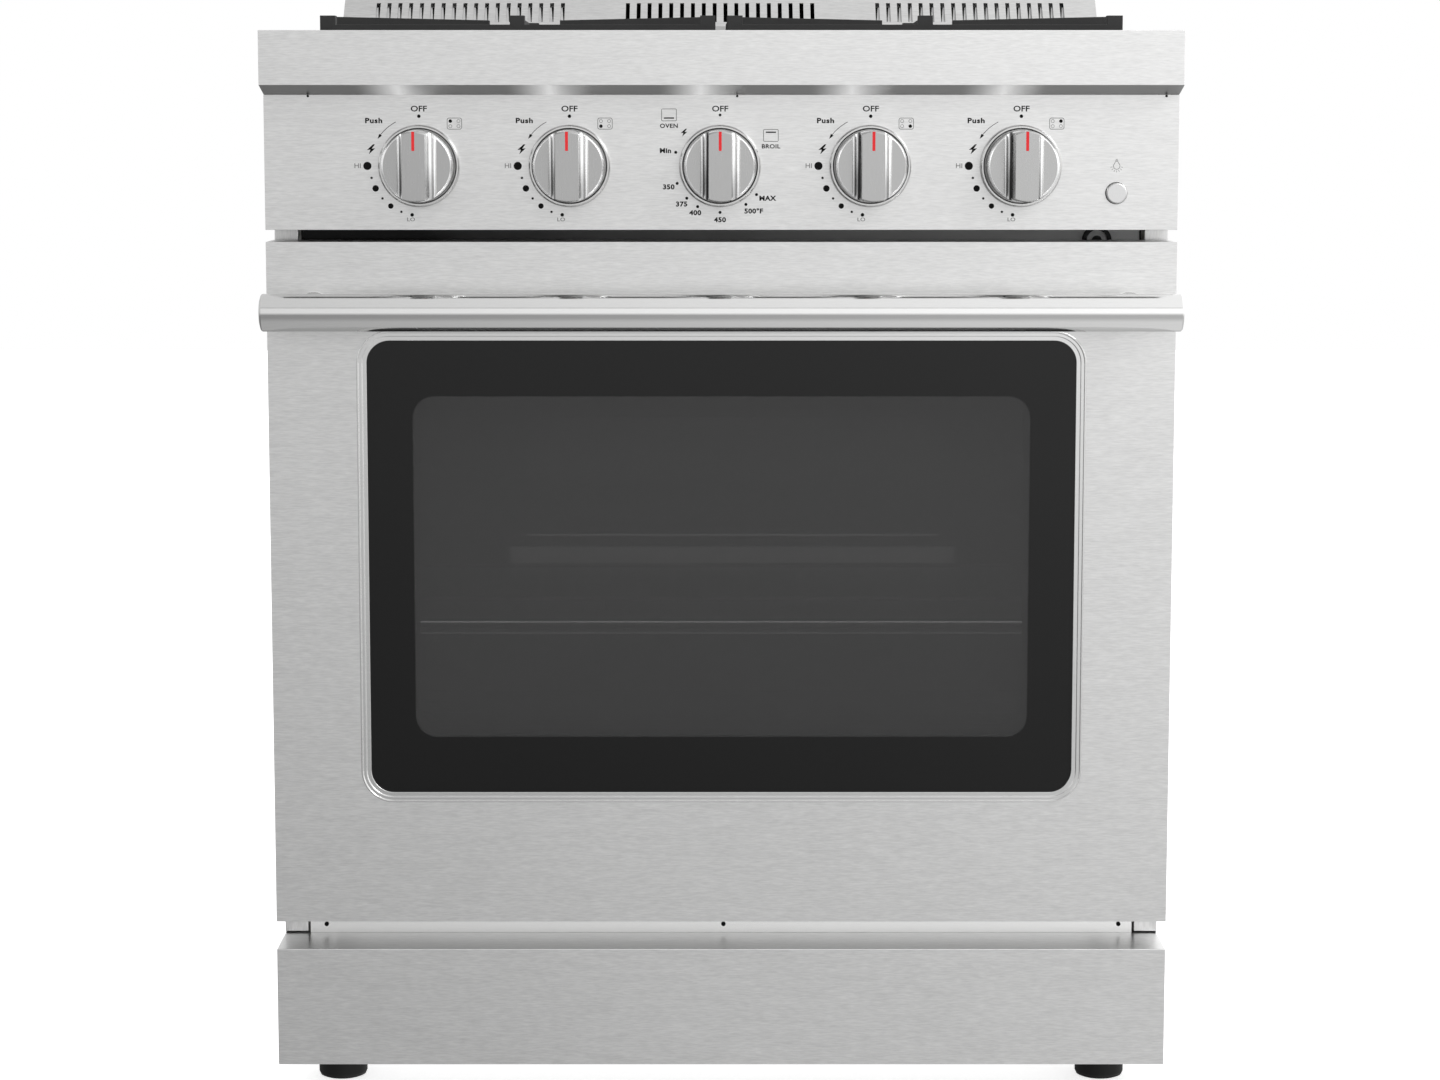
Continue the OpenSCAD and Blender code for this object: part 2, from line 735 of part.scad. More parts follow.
// Outer door panel: a folded tray with the window cut-out.
module door_skin() {
    color("lightgray") difference() {
        block([-half_w, front, door_bottom], [half_w, liner_y, door_top]);
        block([sheet - half_w, front + sheet, door_bottom + sheet],
              [half_w - sheet, liner_y + 1, door_top - sheet]);
        upright(window_w + 2 * trim_w, window_bottom - trim_w, window_top + trim_w, 27, front - 1, front + 3);
        hinge_notch(12);
        for (x = [-bracket_x, bracket_x]) rod_y(x, handle_z, 4.2, front - 1, front + 3);
    }
}

// Bright stepped surround of the window.
module window_trim() {
    w = window_w + 2 * trim_w;
    color("silver") difference() {
        union() {
            upright(w, window_bottom - trim_w, window_top + trim_w, 27, front - 0.6, pane_y);
            upright(w + 8, window_bottom - trim_w - 4, window_top + trim_w + 4, 31, front + sheet, pane_y);
        }
        upright(window_w, window_bottom, window_top, 19, front - 2, front + 6);
        upright(w - 3, window_bottom - trim_w + 1.5, window_top + trim_w - 1.5, 25.5, front - 1, front + 0.8);
        upright(w - 9, window_bottom - trim_w + 4.5, window_top + trim_w - 4.5, 22.5, front, front + 2.4);
    }
}

module door_glass_outer() {
    color([0.1, 0.1, 0.1, 0.8])
        upright(window_w + 8, window_bottom - 4, window_top + 4, 23, pane_y, pane_y + pane_t);
}

tunnel_w = 532;
tunnel_z0 = 302;
tunnel_z1 = 607;

// Dark surround between the two panes.
module door_glass_frame() {
    color("black") difference() {
        union() {
            upright(window_w + 14, window_bottom - 7, window_top + 7, 26, pane_y + pane_t, pane_y + pane_t + sheet);
            upright(tunnel_w + 2 * sheet, tunnel_z0 - sheet, tunnel_z1 + sheet, 18 + sheet, pane_y + pane_t, inner_pane_y);
        }
        upright(tunnel_w, tunnel_z0, tunnel_z1, 18, front + 8, frame_y);
    }
}

module door_insulation() {
    color("khaki") difference() {
        block([-372, front + 10, door_bottom + 4], [372, liner_y, door_top - 4]);
        upright(window_w + 14, window_bottom - 7, window_top + 7, 26, front, liner_y + 1);
        for (x = [-hinge_x, hinge_x])
            block([x - 16, front, door_bottom], [x + 16, liner_y + 1, pivot_z + 36]);
        for (x = [-bracket_x, bracket_x]) rod_y(x, handle_z, 7, front, liner_y + 1);
    }
}

liner_x0 = 290;
liner_z0 = 276;
liner_z1 = 666;

// Inner door panel: a flat flange and a raised, hollow panel that enters the oven's mouth.
module door_liner() {
    color("dimgray") difference() {
        union() {
            block([1 - half_w, liner_y, door_bottom + 1], [half_w - 1, liner_y + sheet, door_top - 1]);
            upright(2 * liner_x0, liner_z0, liner_z1, 16, liner_y, frame_y + 3);
        }
        upright(2 * (liner_x0 - sheet), liner_z0 + sheet, liner_z1 - sheet, 16 - sheet, liner_y - 1,
                frame_y + 3 - sheet);
        upright(519, 309.4, 599.5, 18, liner_y - 1, frame_y + 5);
        hinge_notch(12);
    }
}

module door_glass_inner() {
    color([0.2, 0.2, 0.2, 0.5]) upright(540, 298, 611, 20, inner_pane_y, inner_pane_y + pane_t);
}

// Door half of each hinge: two cheeks and the pin between them.
module door_hinges() {
    color("silver") for (x = [-hinge_x, hinge_x]) {
        rod_x(pivot_y, pivot_z, hinge_pin_r, x - 9, x + 9);
        for (side = [-1, 1]) difference() {
            translate([x + side * 7.5, 0, 0])
                block([-1.5, pivot_y - 14, door_bottom + 3], [1.5, liner_y - 0.5, pivot_z + 30]);
            rod_x(pivot_y, pivot_z, hinge_pin_r, x - 20, x + 20);
        }
        block([x - 9, pivot_y - 16, door_bottom + 3], [x + 9, pivot_y - 14, pivot_z + 30]);
        block([x - 6, pivot_y - 14, pivot_z + 20], [x + 6, liner_y - 0.5, pivot_z + 30]);
    }
}

module handle_tube() {
    y = front - handle_axis;
    color("lightgray") difference() {
        rod_x(y, handle_z, handle_d / 2, -handle_end + 4, handle_end - 4, 96);
        rod_x(y, handle_z, handle_d / 2 - 2, -handle_end + 3, handle_end - 3, 96);
    }
}

module handle_end_caps() {
    r = handle_d / 2;
    color("lightgray") both_sides() translate([handle_end - 4, front - handle_axis, handle_z])
        rotate([0, 90, 0]) rotate_extrude($fn = 96)
            polygon([[0, -6], [r - 2, -6], [r - 2, 0], [r, 0], [r, 1.4], [r - 1, 2.6], [r - 4, 3.5], [0, 4]]);
}

// Round posts that carry the handle, bolted through the door's outer panel.
module handle_brackets() {
    color("silver") for (x = [-bracket_x, bracket_x]) {
        rod_y(x, handle_z, 10, front - handle_axis + handle_d / 2 - 3, front);
        rod_y(x, handle_z, 14, front - 5, front);
        rod_y(x, handle_z, 4, front, front + 8);
    }
}

// ---- loose and moving pieces ----

// Wire rack: a bright front rod, a second rod under it, side and back rods and long wires.
module oven_rack() {
    y1 = rack_front + rack_depth;
    wires = 19;
    color("silver") {
        rod_x(rack_front, rack_z + 4.2, rod_r, -rack_x, rack_x, 24);
        rod_x(rack_front + 12, rack_z - 3.2, 2.6, -rack_x, rack_x, 24);
        rod_x(rack_front + rack_depth / 2, rack_z - 3.2, 2.6, -rack_x, rack_x, 24);
        rod_x(y1, rack_z, rod_r, -rack_x, rack_x, 24);
        both_sides() rod_y(rack_x, rack_z, rod_r, rack_front, y1, 24);
        for (k = [1:wires - 1])
            rod_y(-rack_x + k * 2 * rack_x / wires, rack_z, 1.8, rack_front, y1, 16);
    }
}

module leg(x, y) {
    color("black") translate([x, y, 0]) {
        rotate_extrude($fn = 64)
            polygon([[0, 0], [foot_d / 2 - 4, 0], [foot_d / 2 - 1.2, 1.2], [foot_d / 2, 4], [foot_d / 2, 24], [0, 24]]);
        cylinder(r = stud_r, h = leg_top, $fn = 48);
    }
}

side_panel_left();
side_panel_right();
rear_panel();
base_pan();
front_rail();
header_panel();
oven_cavity();
oven_insulation();
oven_floor();
bake_burner();
broil_burner();
rack_guides();
oven_lamp();
rear_baffle();
door_gasket();
hinge_arms();
cooktop_pan();
bullnose();
burner_bases();
burner_heads();
burner_caps();
igniters();
backguard();
flue_duct();
control_panel();
knob_bezels();
gas_supply();
gas_valves();
light_switch();
body_screws();
kick_plate();
door_skin();
window_trim();
door_glass_outer();
door_glass_frame();
door_glass_inner();
door_insulation();
door_liner();
door_hinges();
handle_tube();
handle_brackets();
handle_end_caps();
oven_rack();
light_button();
grate_left();
grate_right();
leg(-leg_x, leg_front);  // levelling_leg_1
leg(leg_x, leg_front);  // levelling_leg_2
leg(-leg_x, leg_rear);  // levelling_leg_3
leg(leg_x, leg_rear);  // levelling_leg_4
stem(1);  // stem_1
stem(2);  // stem_2
stem(3);  // stem_3
stem(4);  // stem_4
stem(5);  // stem_5
knob(1);  // knob_1
knob(2);  // knob_2
knob(3);  // knob_3
knob(4);  // knob_4
knob(5);  // knob_5
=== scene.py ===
import math

import bmesh
import bpy
from mathutils import Matrix, Vector


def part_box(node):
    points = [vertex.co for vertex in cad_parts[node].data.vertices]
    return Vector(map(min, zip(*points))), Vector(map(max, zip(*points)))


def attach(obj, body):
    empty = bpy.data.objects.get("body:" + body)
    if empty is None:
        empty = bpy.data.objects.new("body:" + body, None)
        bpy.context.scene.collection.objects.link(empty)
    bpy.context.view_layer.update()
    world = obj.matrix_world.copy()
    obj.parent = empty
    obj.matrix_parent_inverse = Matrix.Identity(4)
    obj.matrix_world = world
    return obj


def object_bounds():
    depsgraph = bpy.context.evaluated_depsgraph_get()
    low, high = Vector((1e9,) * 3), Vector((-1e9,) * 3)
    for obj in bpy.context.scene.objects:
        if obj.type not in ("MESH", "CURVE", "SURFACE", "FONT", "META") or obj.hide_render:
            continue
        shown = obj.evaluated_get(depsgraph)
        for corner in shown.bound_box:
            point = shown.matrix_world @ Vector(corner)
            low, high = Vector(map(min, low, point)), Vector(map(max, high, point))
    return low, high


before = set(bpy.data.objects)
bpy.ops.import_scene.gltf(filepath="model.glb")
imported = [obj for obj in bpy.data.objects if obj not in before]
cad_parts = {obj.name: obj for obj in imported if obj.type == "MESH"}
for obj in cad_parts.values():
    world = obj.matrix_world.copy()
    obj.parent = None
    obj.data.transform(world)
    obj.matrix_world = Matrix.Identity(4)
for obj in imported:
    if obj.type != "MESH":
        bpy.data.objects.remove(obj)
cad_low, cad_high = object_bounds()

# ---- Studio ----
# A plain white floor and surround, a broad lamp up to the right with a weaker one on the left,
# and a camera with an 85 mm lens, a little under the cooktop's height and tipped down.
MM = 0.001
front_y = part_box("door_skin")[0].y

lens_mm = 85
sensor_mm = 36
camera_back = 2.843
camera_height = 0.834
camera_pitch = math.radians(7.125)
camera_data = bpy.data.cameras.new("camera")
camera_data.lens = lens_mm
camera_data.sensor_width = sensor_mm
camera_data.shift_x = 0.0048
camera = bpy.data.objects.new("camera", camera_data)
camera.location = (-0.007, front_y - camera_back, camera_height)
camera.rotation_euler = (math.pi / 2 - camera_pitch, 0, 0)
scene = bpy.context.scene
scene.collection.objects.link(camera)
scene.camera = camera
scene.view_settings.view_transform = "Standard"


class Value:
    """A shader socket on which Python arithmetic can be done."""

    def __init__(self, finish, socket):
        self.finish, self.socket = finish, socket

    def math(self, operation, *others):
        return self.finish.node("ShaderNodeMath", {"operation": operation}, dict(enumerate((self, *others))))

    def __add__(self, other):
        return self.math("ADD", other)

    def __sub__(self, other):
        return self.math("SUBTRACT", other)

    def __rsub__(self, other):
        return self.finish.node("ShaderNodeMath", {"operation": "SUBTRACT"}, {0: other, 1: self})

    def __mul__(self, other):
        return self.math("MULTIPLY", other)

    def __truediv__(self, other):
        return self.math("DIVIDE", other)

    def __pow__(self, other):
        return self.math("POWER", other)

    __radd__ = __add__
    __rmul__ = __mul__

    def abs(self):
        return self.math("ABSOLUTE")

    def above(self, other):
        return self.math("MAXIMUM", other)

    def below(self, other):
        return self.math("MINIMUM", other)

    def over(self, edge):
        return self.math("GREATER_THAN", edge)

    def clamped(self):
        return self.above(0.0).below(1.0)


class Finish:
    """A material or the world, built up node by node."""

    def __init__(self, name, holder=None, **surface):
        self.holder = holder or bpy.data.materials.new(name)
        self.holder.use_nodes = True
        self.tree = self.holder.node_tree
        self.surface = next(n for n in self.tree.nodes if n.type in ("BSDF_PRINCIPLED", "BACKGROUND"))
        self.set(**surface)

    def node(self, kind, settings=None, inputs=None, output=0):
        made = self.tree.nodes.new(kind)
        for name, value in (settings or {}).items():
            if name == "stops":
                made.color_ramp.elements[0].position, made.color_ramp.elements[0].color = value[0]
                made.color_ramp.elements[1].position, made.color_ramp.elements[1].color = value[-1]
                for place, colour in value[1:-1]:
                    made.color_ramp.elements.new(place).color = colour
            else:
                setattr(made, name, value)
        for name, value in (inputs or {}).items():
            self.join(made.inputs[name], value)
        return Value(self, made.outputs[output])

    def join(self, socket, value):
        if isinstance(value, Value):
            self.tree.links.new(value.socket, socket)
        else:
            socket.default_value = value

    def set(self, **surface):
        for name, value in surface.items():
            self.join(self.surface.inputs[name.replace("_", " ")], value)

    def place(self):
        return self.node("ShaderNodeTexCoord", output="Object")

    def axes(self, vector):
        split = self.tree.nodes.new("ShaderNodeSeparateXYZ")
        self.tree.links.new(vector.socket, split.inputs[0])
        return [Value(self, s) for s in split.outputs]

    def noise(self, scale, detail=2.0, rough=0.5, seed=0.0, vector=None):
        """Noise with a scale along each axis, in features a metre."""
        stretched = self.node("ShaderNodeMapping", {}, {"Vector": vector or self.place(), "Scale": scale,
                                                       "Location": (seed, seed * 2, seed * 3)})
        return self.node("ShaderNodeTexNoise", {"noise_dimensions": "3D"},
                         {"Vector": stretched, "Scale": 1.0, "Detail": detail, "Roughness": rough})

    def mix(self, factor, first, second):
        return self.node("ShaderNodeMix", {"data_type": "RGBA"}, {0: factor, 6: first, 7: second}, 2)

    def bump(self, height, distance, strength=1.0):
        self.set(Normal=self.node("ShaderNodeBump", {}, {"Height": height, "Distance": distance,
                                                         "Strength": strength}))


def grey(level, alpha=1.0):
    return (level, level, level, alpha)


world = bpy.data.worlds.new("studio")
scene.world = world
sky = Finish("studio", world)
sky_x, _, sky_z = sky.axes(sky.node("ShaderNodeTexCoord", output="Generated"))
side = sky_x.above(-0.24).below(0.24)
wall = 1.08 + 1.7 * side
ground = (0.43 + 0.9 * side) * (1.0 + 0.45 * ((-0.5 - sky_z) * 3.0).clamped())
rise = (sky_z * 4.1 + 0.86).clamped()
ceiling = ((sky_z - 0.48) * 12.0).clamped()
ceiling_joint = (1.0 - (sky_z - 0.52).abs() * 20.0).clamped()
light_level = (wall * rise + ground * (1.0 - rise)) * (1.0 - ceiling * 0.16) * (1.0 - ceiling_joint * 0.5)
seen = sky.node("ShaderNodeLightPath", output="Is Camera Ray")
sky.set(Color=grey(1.0), Strength=seen * 1.0 + (1.0 - seen) * light_level)


def lamp(name, place, aim, size, power):
    data = bpy.data.lights.new(name, "AREA")
    data.shape = "RECTANGLE"
    data.size, data.size_y = size
    data.energy = power
    made = bpy.data.objects.new(name, data)
    made.location = place
    made.rotation_euler = (Vector(aim) - Vector(place)).to_track_quat("-Z", "Y").to_euler()
    scene.collection.objects.link(made)
    return made


middle = Vector((0, 0, (cad_low.z + cad_high.z) / 2))
lamp("key", (1.9, front_y - 1.6, 2.5), middle, (1.2, 1.2), 34)
lamp("fill", (-2.4, front_y - 1.2, 1.6), middle, (1.6, 1.6), 7)


def mesh_object(name, bm, finish, smooth=None):
    data = bpy.data.meshes.new(name)
    bmesh.ops.recalc_face_normals(bm, faces=bm.faces)
    bm.to_mesh(data)
    bm.free()
    made = bpy.data.objects.new(name, data)
    scene.collection.objects.link(made)
    data.materials.append(finish.holder)
    if smooth is not None:
        data.shade_smooth()
        data.set_sharp_from_angle(angle=math.radians(smooth))
    return made


floor_finish = Finish("floor", Base_Color=grey(0.9), Roughness=0.9, Emission_Color=grey(1.0),
                      Emission_Strength=0.72)
floor_mesh = bmesh.new()
bmesh.ops.create_grid(floor_mesh, x_segments=1, y_segments=1, size=9)
floor = mesh_object("floor", floor_mesh, floor_finish)
floor.visible_glossy = False


def dress(finish, *nodes):
    """Gives CAD nodes a finish."""
    for node in nodes:
        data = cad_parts[node].data
        data.materials.clear()
        data.materials.append(finish.holder)


def soften(width, *nodes, segments=2):
    """Rounds the edges of CAD nodes by a small radius, in metres."""
    for node in nodes:
        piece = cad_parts[node]
        weld = piece.modifiers.new("weld", "WELD")
        weld.merge_threshold = 1e-5
        flat = piece.modifiers.new("flat_faces", "DECIMATE")
        flat.decimate_type = "DISSOLVE"
        flat.angle_limit = math.radians(0.2)
        bevel = piece.modifiers.new("soft_edges", "BEVEL")
        bevel.width = width
        bevel.segments = segments
        bevel.limit_method = "ANGLE"
        bevel.angle_limit = math.radians(35)
        bevel.use_clamp_overlap = True
        bevel.harden_normals = True


# ---- Brushed sheet ----
# The door's outer panel, the control panel and the kick plate are folded stainless sheet,
# brushed sideways to a fine broken grain.
def brushed(name, along, level, rough, streak=0.32):
    """Stainless brushed along one axis: the grain is about 9 mm long and 1 mm wide."""
    made = Finish(name, Metallic=1.0)
    scale = [900.0, 900.0, 900.0]
    scale[along] = 110.0
    fine = made.noise(scale, detail=3.0, rough=0.65)
    coarse = made.noise([s * 0.35 for s in scale], detail=2.0, seed=7.0)
    cloud = made.noise((3.0, 3.0, 3.0), detail=1.0, seed=3.0)
    grain = (fine - 0.5) * 1.0 + (coarse - 0.5) * 0.3
    shade = level + grain * streak + (cloud - 0.5) * 0.02
    made.set(Base_Color=made.node("ShaderNodeCombineColor", {}, {0: shade, 1: shade, 2: shade * 0.995}),
             Roughness=(rough + grain * 0.1 + (cloud - 0.5) * 0.04).clamped())
    made.bump(grain, 0.00002, 0.3)
    return made


steel = brushed("steel_brushed_sideways", 0, 0.80, 0.34)
dress(steel, "door_skin", "control_panel", "kick_plate")
soften(0.0008, "door_skin", "control_panel", "kick_plate")

# ---- Bullnose ----
# The nose of the cooktop is the same sheet, folded into a box. Its slanting underside is painted
# darker as painted shade, with a soft glow of painted light, as if reflected from the knobs, over each knob.
nose = brushed("bullnose_steel", 0, 0.80, 0.34)
knob_x = [(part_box(f"knob_{n}")[0].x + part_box(f"knob_{n}")[1].x) / 2 for n in range(1, 6)]
nose_x, _, _ = nose.axes(nose.place())
_, _, facing_z = nose.axes(nose.node("ShaderNodeNewGeometry", output="Normal"))
underside = (facing_z * -2.0).clamped()
glow = 0.0
for x in knob_x:
    glow = glow + (1.0 - (nose_x - x + 0.016).abs() * 28.0).clamped() ** 1.5
# Painted shade darkens the underside. Painted light from the knobs lifts it over each knob and also glows
# there.
shaded = nose.mix(underside * (1.0 - glow * 0.75), grey(1.0), grey(0.4))
plain_colour = nose.surface.inputs["Base Color"].links[0].from_socket
nose.set(Base_Color=nose.node("ShaderNodeMix", {"data_type": "RGBA", "blend_type": "MULTIPLY"},
                              {0: 1.0, 6: Value(nose, plain_colour), 7: shaded}, 2))
nose.set(Emission_Color=nose.mix(underside * glow, grey(0.0), grey(1.0)), Emission_Strength=0.45)
dress(nose, "bullnose")
soften(0.0008, "bullnose")

# ---- Side panels ----
# The side sheets are the same stainless, brushed upright. Their front returns show as the two
# posts over and under the door.
upright_steel = brushed("steel_brushed_upright", 2, 0.78, 0.36)
dress(upright_steel, "side_panel_left", "side_panel_right")
soften(0.0006, "side_panel_left", "side_panel_right")

# ---- Backguard ----
# A folded upstand with slots cut through its sloping face. The flue's dark walls stand behind
# the middle slots, and bright plates behind the side ones, each with a wedge of shadow
# painted on.
dress(brushed("backguard_steel", 0, 0.64, 0.36), "backguard")
flue = Finish("flue_steel", IOR=1.2)
flue_soot = flue.noise((30.0, 30.0, 60.0), detail=4.0)
flue_x, _, flue_z = flue.axes(flue.place())
plates_from = 0.13
plate = flue_x.abs().over(plates_from)
slot_group, slot_pitch, slot_half = 0.25, 0.01087, 0.18
in_pitch = ((flue_x.abs() - slot_group) / slot_pitch).math("FRACT")
plate_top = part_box("flue_duct")[1].z - 0.016
climb = ((flue_z - plate_top) * 46.0 + 1.0).clamped()
shadow = 1.0 - in_pitch.over(climb * slot_half * 1.3 + (0.5 - slot_half))
flue.set(Base_Color=flue.mix(plate * (1.0 - shadow), grey(0.006), flue.mix(flue_soot, grey(0.62), grey(0.8))),
         Metallic=plate * (1.0 - shadow) * 0.9, Roughness=0.45 + flue_soot * 0.2)
dress(flue, "flue_duct")

# ---- Handle ----
# A full-width polished tube with slightly domed end plugs, standing off the door on two posts.
tube = brushed("handle_steel", 0, 0.78, 0.09, streak=0.06)
dress(tube, "handle_tube", "handle_end_caps", "handle_brackets")

# ---- Window ----
# A bright stepped surround holds a dark pane. The rail below the door is as bright: its steel is
# painted lighter, as painted light against the shade under the door. The pane's border is printed
# black from behind, and the field inside it is a lighter smoked grey.
trim = brushed("trim_steel", 0, 0.78, 0.2, streak=0.04)
dress(trim, "window_trim")
# The rail's steel is painted lighter than the door's, as painted light against the shade under the door.
dress(brushed("rail_steel", 0, 0.90, 0.25, streak=0.05), "front_rail")
soften(0.0004, "window_trim")

field_low = Vector((-0.2595, 0, 0.3094))
field_high = Vector((0.2595, 0, 0.5995))
field_r = 0.018


def rounded_box(x, z, low, high, radius):
    """Distance outside a rounded rectangle, negative within it."""
    side = (x - (low.x + high.x) / 2).abs() - ((high.x - low.x) / 2 - radius)
    rise = (z - (low.z + high.z) / 2).abs() - ((high.z - low.z) / 2 - radius)
    outside = (side.above(0.0) ** 2 + rise.above(0.0) ** 2) ** 0.5
    return outside + side.above(rise).below(0.0) - radius


smoked = Finish("pane_smoked", Roughness=0.08, IOR=1.4)
pane_x, _, pane_z = smoked.axes(smoked.place())
border = (rounded_box(pane_x, pane_z, field_low, field_high, field_r) * 2500.0 + 0.5).clamped()
smear = smoked.noise((6.0, 6.0, 9.0), detail=3.0)
smoked.set(Base_Color=smoked.mix(border, grey(0.034), grey(0.003)), Alpha=0.62 + border * 0.38,
           Roughness=0.06 + smear * 0.05)
dress(smoked, "door_glass_outer")
soften(0.0005, "door_glass_outer")

clear = Finish("pane_clear", Base_Color=grey(0.55), Roughness=0.04, IOR=1.5, Alpha=0.25)
clear_smear = clear.noise((8.0, 8.0, 8.0), detail=3.0)
clear.set(Roughness=0.03 + clear_smear * 0.06)
dress(clear, "door_glass_inner")

enamel_black = Finish("retainer_black", Base_Color=grey(0.02), Roughness=0.35)
retainer_mottle = enamel_black.noise((400.0, 400.0, 400.0), detail=2.0)
enamel_black.set(Roughness=0.3 + retainer_mottle * 0.15)
enamel_black.bump(retainer_mottle, 0.0001, 0.3)
dress(enamel_black, "door_glass_frame")

# ---- Header ----
# A gloss black panel set back behind the gap over the door, with a rubber plug in a ring. It is
# painted lighter towards the right as a painted reflection of the room, and its two ends are painted
# black as painted shade.
header = Finish("header_gloss", IOR=1.2)
header_dust_and_sheen = header.noise((12.0, 12.0, 60.0), detail=3.0)
header_x, _, header_z = header.axes(header.place())
# Painted reflection: lighter towards the right, made patchy by the dust noise.
painted_reflection = (header_x * 1.6 + 0.42).clamped() + (header_dust_and_sheen - 0.5) * 0.3
plug_x, plug_z, end_shade_from = 0.320, 0.728, 0.3562
plug_out = ((header_x - plug_x) ** 2 + (header_z - plug_z) ** 2) ** 0.5
plug_r, ring_in, ring_out = 0.0042, 0.0088, 0.0126
rubber = plug_out.over(ring_in) * (1.0 - plug_out.over(ring_out)) + (1.0 - plug_out.over(plug_r))
# Past a point near either end the panel is painted black as painted shade. The plug and its ring are black
# rubber.
shade = (rubber + header_x.abs().over(end_shade_from)).clamped()
header.set(Base_Color=header.mix(shade, header.mix(painted_reflection.clamped(), grey(0.01), grey(0.62)), grey(0.001)),
           Roughness=0.14 + header_dust_and_sheen * 0.12)
dress(header, "header_panel")

# ---- Knobs ----
# Turned metal drums with a bevelled rim and a tall grip bar, brushed up and down, each with a
# red line let into the top of its bar and a polished ring round it. The grooves and rim carry a
# painted highlight that glows weakly, the channel walls beside the bar carry a lighter painted
# reflection, and the corner left of the bar carries a painted shadow.
knob_finish = brushed("knob_metal", 2, 0.50, 0.26, streak=0.07)
knob_low, knob_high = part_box("knob_3")
knob_at = (knob_low + knob_high) / 2
knob_r = (knob_high.x - knob_low.x) / 2
pitch = knob_x[1] - knob_x[0]
metal_x, metal_y, metal_z = knob_finish.axes(knob_finish.place())
turn_x = (((metal_x - knob_at.x) / pitch + 2.5).math("FRACT") - 0.5) * pitch
across = turn_x.abs()
out = (turn_x ** 2 + (metal_z - knob_at.z) ** 2) ** 0.5
bar_edge, groove_in, groove_out = 0.0097, 0.0137, 0.0164
flats_front, flats_back = front_y - 0.0295, front_y - 0.0262
groove = across.over(groove_in) * (1.0 - across.over(groove_out))
rim = out.over(knob_r - 0.0017)
flats = metal_y.over(flats_front) * (1.0 - metal_y.over(flats_back))
# Painted highlight on the grooves and rim, near white and glowing weakly.
painted_highlight = ((groove + rim) * flats).clamped()
# Painted reflection on the channel walls beside the bar, a lighter grey.
painted_channel_sheen = across.over(bar_edge) * (1.0 - across.over(groove_in)) * metal_y.over(flats_front)
# Painted shadow in the corner left of the bar, near black.
corner_in, corner_out, corner_front = 0.0094, 0.0114, front_y - 0.0285
left_of_bar = turn_x * -1.0
corner = left_of_bar.over(corner_in) * (1.0 - left_of_bar.over(corner_out)) * metal_y.over(corner_front)
brushed_colour = knob_finish.surface.inputs["Base Color"].links[0].from_socket
sheen_colour = knob_finish.mix(painted_channel_sheen, Value(knob_finish, brushed_colour), grey(0.78))
sheen_colour = knob_finish.mix(painted_highlight, sheen_colour, grey(0.95))
knob_finish.set(Base_Color=knob_finish.mix(corner, sheen_colour, grey(0.06)),
                Emission_Color=knob_finish.mix(painted_highlight, grey(0.0), grey(1.0)), Emission_Strength=0.12)
ring_finish = brushed("ring_metal", 0, 0.66, 0.2, streak=0.02)
red = Finish("indicator_red", Roughness=0.4, IOR=1.3)
red_wear = red.noise((900.0, 900.0, 900.0), detail=2.0)
red.set(Base_Color=red.mix(red_wear, (0.54, 0.018, 0.022, 1), (0.45, 0.014, 0.017, 1)))
dress(ring_finish, "knob_bezels")
line_width = 2.4 * MM
line_length = 15.6 * MM


def strip(x0, x1, z0, z1, y0, y1, radius):
    """A bar with rounded ends in the X-Z plane, from y0 back to y1."""
    bm = bmesh.new()
    steps = 6
    outline = []
    for cx, cz, start in ((x1 - radius, z1 - radius, 0), (x0 + radius, z1 - radius, 90),
                          (x0 + radius, z0 + radius, 180), (x1 - radius, z0 + radius, 270)):
        for k in range(steps + 1):
            a = math.radians(start + 90 * k / steps)
            outline.append((cx + radius * math.cos(a), cz + radius * math.sin(a)))
    face = bm.faces.new([bm.verts.new((x, y0, z)) for x, z in outline])
    back = bmesh.ops.extrude_face_region(bm, geom=[face])
    bmesh.ops.translate(bm, vec=(0, y1 - y0, 0),
                        verts=[v for v in back["geom"] if isinstance(v, bmesh.types.BMVert)])
    return bm


for number in range(1, 6):
    name = f"knob_{number}"
    dress(knob_finish, name)
    soften(0.0005, name)
    low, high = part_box(name)
    x = (low.x + high.x) / 2
    top = high.z - 0.9 * MM
    inlay = strip(x - line_width / 2, x + line_width / 2, top - line_length, top,
                  low.y - 0.1 * MM, low.y + 0.5 * MM, 0.5 * MM)
    line = mesh_object(f"indicator_{number}", inlay, red)
    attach(line, f"knob_{number}")

# ---- Light button ----
# A plain round push-button in a close hole, for the oven lamp.
button_finish = Finish("button_metal", Metallic=1.0)
button_grain = button_finish.noise((700.0, 700.0, 700.0), detail=3.0)
button_finish.set(Base_Color=button_finish.mix(button_grain, grey(0.70), grey(0.78)),
                  Roughness=0.3 + button_grain * 0.1)
dress(button_finish, "light_button")
soften(0.0003, "light_button")

# ---- Panel printing ----
# The marks round each knob are screen-printed in black, with the lesser ones in grey. A mark
# is 0.1 mm thick and lies on the panel.
ink_black = Finish("ink_black", Roughness=0.5, IOR=1.2)
ink_grey = Finish("ink_grey", Roughness=0.5, IOR=1.3)
for ink, dark, light in ((ink_black, 0.001, 0.004), (ink_grey, 0.14, 0.19)):
    ink.set(Base_Color=ink.mix(ink.noise((800.0,) * 3), grey(dark), grey(light)))
ink_depth = 0.1 * MM
cap_height_share = 0.729


